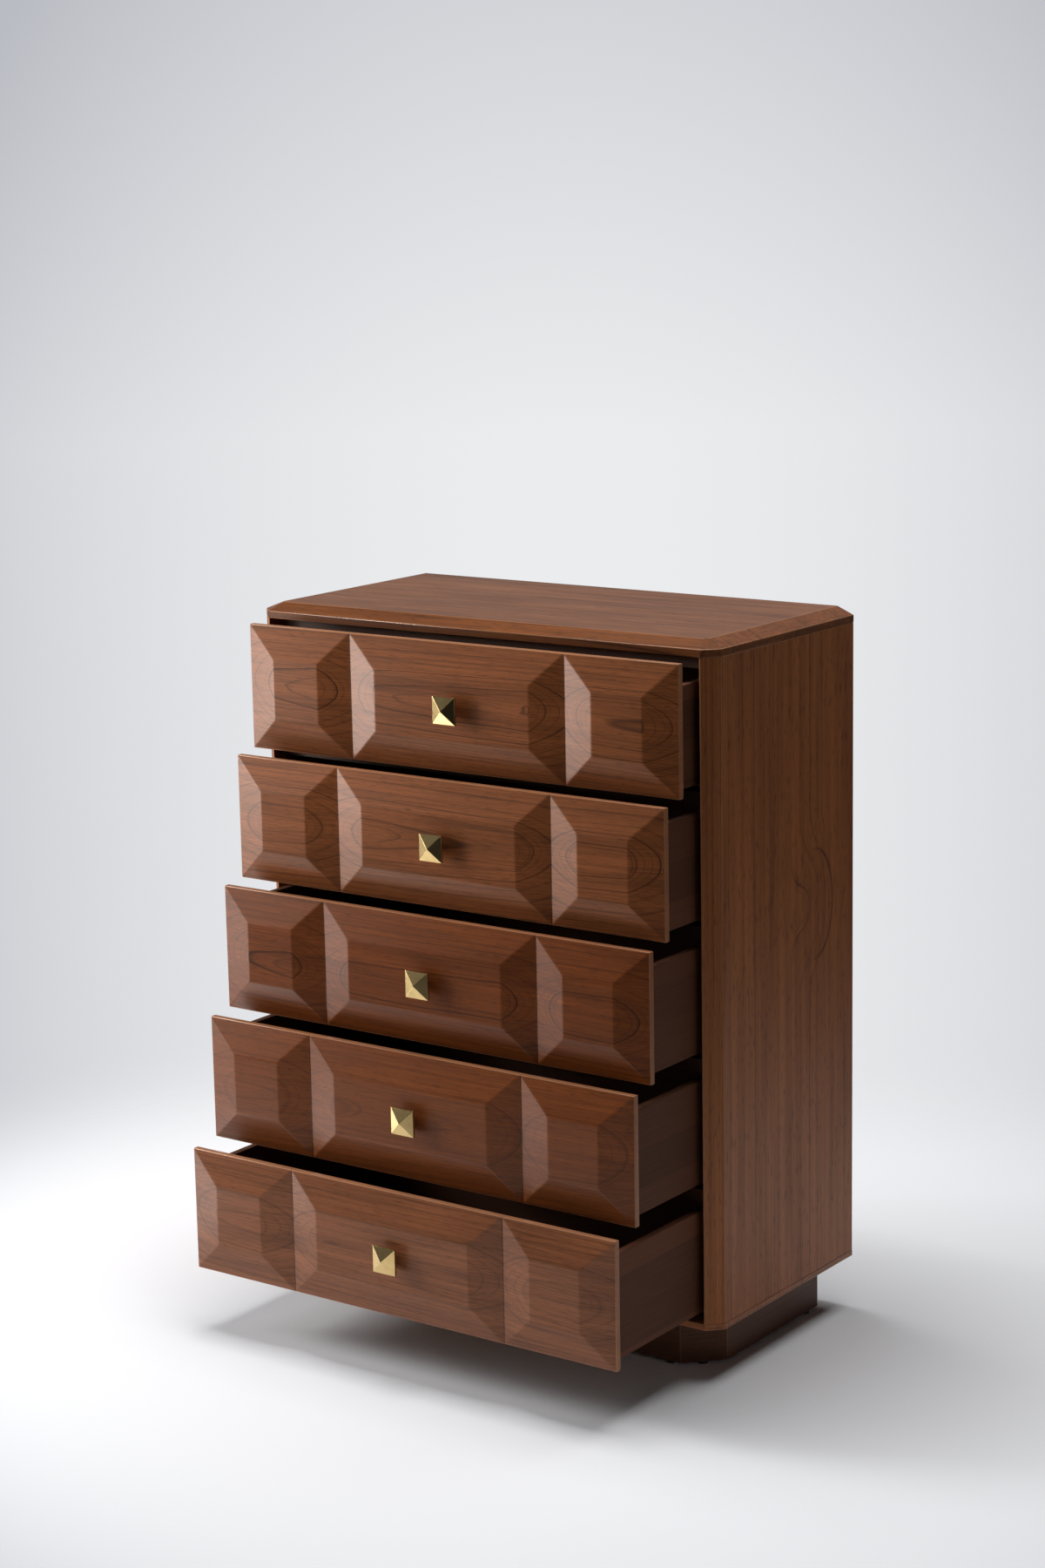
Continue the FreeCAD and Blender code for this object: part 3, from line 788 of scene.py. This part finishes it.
for number in DRAWERS:
    node = "drawer_%d_knob" % number
    knob = dress(pyramid_knob(node), "drawer_%d_pyramid_knob" % number, node, brass)
print("knob faces", len(knob.data.polygons))

# %% [markdown]
# ## Case boards
# The top, the two sides, the bottom and the plinth are plain boards with cut corners. Their CAD meshes are
# right, but a real board never has a knife edge. A bevel modifier could ease them, but here only the long
# outside edges are eased: each piece starts from a copy of the CAD mesh, its loose triangles are merged, and
# flat ones are joined again. The eased edges are painted a little lighter, partly as wear and partly as
# painted highlight. The small round-over between two boards leaves the fine dark joint line that the
# photograph shows under the top.

# %% Boards with eased edges
# The second value marks eased edges: painted lighter, partly as wear and partly as painted highlight.
BOARD_EASE, BOARD_WEAR_AND_HIGHLIGHT = 1.2, 0.5
LONG_EDGE = 15.0
FLAT_ANGLE, SHARP_ANGLE = radians(1), radians(20)


def eased_copy(node):
    """A copy of a CAD node's mesh with its long sharp edges eased."""
    bm = bmesh.new()
    bm.from_mesh(frame["nodes"][node].data)
    bmesh.ops.remove_doubles(bm, verts=bm.verts, dist=MERGE_DISTANCE * MM)
    bmesh.ops.dissolve_limit(bm, angle_limit=FLAT_ANGLE, verts=bm.verts, edges=bm.edges)
    sharp = [e for e in bm.edges if e.is_manifold and e.calc_length() > LONG_EDGE * MM
             and e.calc_face_angle_signed() > SHARP_ANGLE]
    ease(bm, sharp, BOARD_EASE, EDGE_STEPS, BOARD_WEAR_AND_HIGHLIGHT)
    return bm


print("board edges are eased by", BOARD_EASE, "mm")

# %% [markdown]
# ### Planks of the case
# The sides are of straight wood with the grain upright, and the right one has a knot. The plinth is darker
# and its boards turn with the corners. One material could cover the case, but grain that runs on through a
# joint would give it away, so each board is a plank of its own.

# %% Walnut case
CASE_TONES = ("#AC683B", "#6D3D1F", "#341C0E")
TOP_TONES = ("#844D29", "#542E16", "#27150B")
PLINTH_TONES = ("#57311C", "#412312", "#241209")
KNOT = (425.0, 85.0, 685.0), (60.0, 52.0, 86.0), 60.0
STRAIGHT_SIDE = {"ring": 22.0, "tones": CASE_TONES, "strength": 0.8, "roughness": 0.42, "wander": 0.3}
PLINTH_BOARD = {"pith": (0, 300, -190), "ring": 12.0, "tones": PLINTH_TONES, "strength": 0.7,
                "roughness": 0.42}
PLINTH_TURNS = {"front": 0.0, "back": 0.0, "left": 90.0, "right": 90.0, "left_corner": -45.0,
                "right_corner": 45.0}
PLINTH_FIRST_SEED = 21

board_woods = {
    "top_panel": walnut("top walnut", seed=11, pith=(0, 900, 700), turn_degrees=(0.0, 0.0, 1.0),
                        ring=16.0, tones=TOP_TONES),
    "right_side_panel": walnut("right side walnut", seed=12, pith=(480, 1500, 600),
                               turn_degrees=(0.0, -89.8, 0.0), knot=KNOT, **STRAIGHT_SIDE),
    "left_side_panel": walnut("left side walnut", seed=13, pith=(-480, 1400, 600),
                              turn_degrees=(0.0, -90.3, 0.0), **STRAIGHT_SIDE),
    "bottom_panel": walnut("bottom walnut", seed=14, pith=(500, 700, -100), turn_degrees=(0.0, 0.0, 0.0),
                           ring=14.0, tones=CASE_TONES),
}
for seed, (name, turned) in enumerate(PLINTH_TURNS.items(), PLINTH_FIRST_SEED):
    board_woods["plinth_" + name] = walnut("plinth walnut " + name.replace("_", " "), seed=seed,
                                           turn_degrees=(0, 0, turned), **PLINTH_BOARD)
for node, wood in board_woods.items():
    dress(eased_copy(node), node + "_eased", node, wood)
print("boards", len(board_woods))

# %% [markdown]
# ## Drawer boxes
# The sides of the drawers are plainer: solid wood glued up from narrow staves, greyer than the fronts and
# only waxed, which gives the eye a dull, even brown. That brown is partly the wood's own and partly painted
# shade, for the sides stand in shade between the drawers. The front rails are darker in the same way, partly
# their own tone and partly painted shade behind the fronts. Glued staves could be modelled one by one, but
# their joints are flush, so a step in colour at each stave's height does it. The bottoms and the back are
# thin ply with a plain face, so wide that a sheet shows one tone or two.

# %% Glued staves and ply
STAVE_HEIGHT = 58.0
BOTTOM_SHEET, BACK_SHEET, RAIL_BOARD = 400.0, 500.0, 300.0
# Real fibres are finer than a pixel of the render. These are drawn coarser, so that they show.
STAVE_FIBRE_CELL = (90.0, 3.0, 3.0)
STAVE_TONE_SHARE, STAVE_TONE_SHIFT, STAVE_FIBRE_SHARE = 0.6, -0.05, 0.55
STAVE_BUMP, STAVE_DEPTH = 0.1, 0.3
ROUGHNESS_SPREAD = 0.06
WAX_IOR = 1.3
SIDEWAYS, UPRIGHT, INWARDS = (0.0, 0.0, 0.0), (0.0, -90.0, 0.0), (0.0, 0.0, 90.0)


def stave_colour(tree, position, fibre, stave_height, light, dark):
    """A colour that steps from stave to stave and is streaked by fibres."""
    height = add(tree, "SeparateXYZ", inputs={0: position}).outputs["Z"]
    stave = add(tree, "Math", {"operation": "DIVIDE"}, {0: height, 1: stave_height * MM})
    number = add(tree, "Math", {"operation": "FLOOR"}, {0: stave.outputs[0]})
    tone = add(tree, "TexWhiteNoise", {"noise_dimensions": "1D"}, {"W": number.outputs[0]})
    share = add(tree, "Math", {"operation": "MULTIPLY_ADD"},
                {0: tone.outputs["Value"], 1: STAVE_TONE_SHARE, 2: STAVE_TONE_SHIFT})
    share = add(tree, "Math", {"operation": "MULTIPLY_ADD", "use_clamp": True},
                {0: fibre, 1: STAVE_FIBRE_SHARE, 2: share.outputs[0]})
    colour = add(tree, "Mix", {"data_type": "RGBA"},
                 {0: share.outputs[0], 6: linear(light), 7: linear(dark)})
    return colour.outputs[2]


def plain_wood(name, light, dark, stave_height, turn_degrees, roughness):
    """Plain straight wood in staves of a height, with its grain along the turned X axis."""
    made, tree = new_material(name)
    places = add(tree, "TexCoord")
    turned = add(tree, "Mapping", {"vector_type": "TEXTURE"},
                 {"Vector": places.outputs["Object"],
                  "Rotation": [radians(angle) for angle in turn_degrees]}).outputs[0]
    along = add(tree, "VectorMath", {"operation": "MULTIPLY"}, {0: turned, 1: cells(STAVE_FIBRE_CELL)})
    fibre = add(tree, "TexNoise",
                inputs={"Vector": along.outputs[0], "Scale": 1.0, "Detail": 3.0}).outputs["Fac"]
    colour = stave_colour(tree, turned, fibre, stave_height, light, dark)
    bump = add(tree, "Bump", inputs={"Strength": STAVE_BUMP, "Distance": STAVE_DEPTH * MM, "Height": fibre})
    sheen = add(tree, "MapRange", inputs={"Value": fibre, "To Min": roughness - ROUGHNESS_SPREAD,
                                          "To Max": roughness + ROUGHNESS_SPREAD})
    shader = add(tree, "BsdfPrincipled", inputs={"Base Color": colour, "Roughness": sheen.outputs[0],
                                                 "Normal": bump.outputs[0], "IOR": WAX_IOR})
    add(tree, "OutputMaterial", inputs={"Surface": shader.outputs[0]})
    return made


# Darker than the wood's own brown: partly its own tone, partly painted shade between the drawers.
side_wood_with_painted_shade = plain_wood("waxed drawer side wood with painted shade", "#643B26", "#432716", STAVE_HEIGHT, INWARDS, roughness=0.65)
box_ply = plain_wood("drawer ply", "#8A6A52", "#6B4E3A", BOTTOM_SHEET, SIDEWAYS, roughness=0.55)
back_ply = plain_wood("back ply", "#71503C", "#553825", BACK_SHEET, UPRIGHT, roughness=0.5)
# A darker brown: partly the rails' own tone, partly painted shade behind the fronts.
rail_wood_with_painted_shade = plain_wood("rail wood with painted shade", "#5E3E2B", "#42291A", RAIL_BOARD, SIDEWAYS, roughness=0.55)
for number in DRAWERS:
    for part in ("left_side", "right_side", "back"):
        node = "drawer_%d_%s" % (number, part)
        dress(eased_copy(node), node + "_eased", node, side_wood_with_painted_shade)
    finish("drawer_%d_bottom" % number, box_ply)
finish("back_panel", back_ply)
finish("front_rails", rail_wood_with_painted_shade)
print("drawer boxes dressed with staves of", STAVE_HEIGHT, "mm")

# %% [markdown]
# ## Slides, screws and feet
# The slides are pressed from zinc plated steel, the screws are turned and plated, and the glide feet are
# black nylon. Their shapes are right in CAD, so they only get a finish. A flat colour could do for such small
# pieces, but zinc plate is grey with a faint mottle, and moulded nylon has a fine matt grain.

# %% Steel and nylon
SPECKLE_BUMP, SPECKLE_DEPTH = 0.08, 0.1


def speckled(name, light, dark, cell, metallic, low_rough, high_rough):
    """A finish with a mottle of a cell size in millimetres, coarser than the real one, so that it shows."""
    made, tree = new_material(name)
    places = add(tree, "TexCoord")
    mottle = add(tree, "TexNoise", inputs={"Vector": places.outputs["Object"], "Scale": 1 / (cell * MM),
                                           "Detail": 3.0}).outputs["Fac"]
    colour = add(tree, "Mix", {"data_type": "RGBA"}, {0: mottle, 6: linear(light), 7: linear(dark)})
    rough = add(tree, "MapRange", inputs={"Value": mottle, "To Min": low_rough, "To Max": high_rough})
    bump = add(tree, "Bump", inputs={"Strength": SPECKLE_BUMP, "Distance": SPECKLE_DEPTH * MM,
                                     "Height": mottle})
    shader = add(tree, "BsdfPrincipled", inputs={"Base Color": colour.outputs[2], "Metallic": metallic,
                                                 "Roughness": rough.outputs[0], "Normal": bump.outputs[0]})
    add(tree, "OutputMaterial", inputs={"Surface": shader.outputs[0]})
    return made


zinc = speckled("zinc plated steel", "#B4B8BB", "#8F9497", cell=3.0, metallic=1.0,
                low_rough=0.28, high_rough=0.42)
plated = speckled("plated screw steel", "#C6BE9E", "#9C9474", cell=1.5, metallic=1.0,
                  low_rough=0.25, high_rough=0.40)
nylon = speckled("black nylon", "#1B1B1C", "#0E0E0F", cell=1.0, metallic=0.0,
                 low_rough=0.45, high_rough=0.60)
finish("slide_cabinet_members", zinc)
finish("back_screws", plated)
finish("glide_feet", nylon)
for number in DRAWERS:
    finish("drawer_%d_slide_runners" % number, zinc)
    finish("drawer_%d_slide_middles" % number, zinc)
    finish("drawer_%d_knob_screw" % number, plated)
print("slides, screws and feet finished")
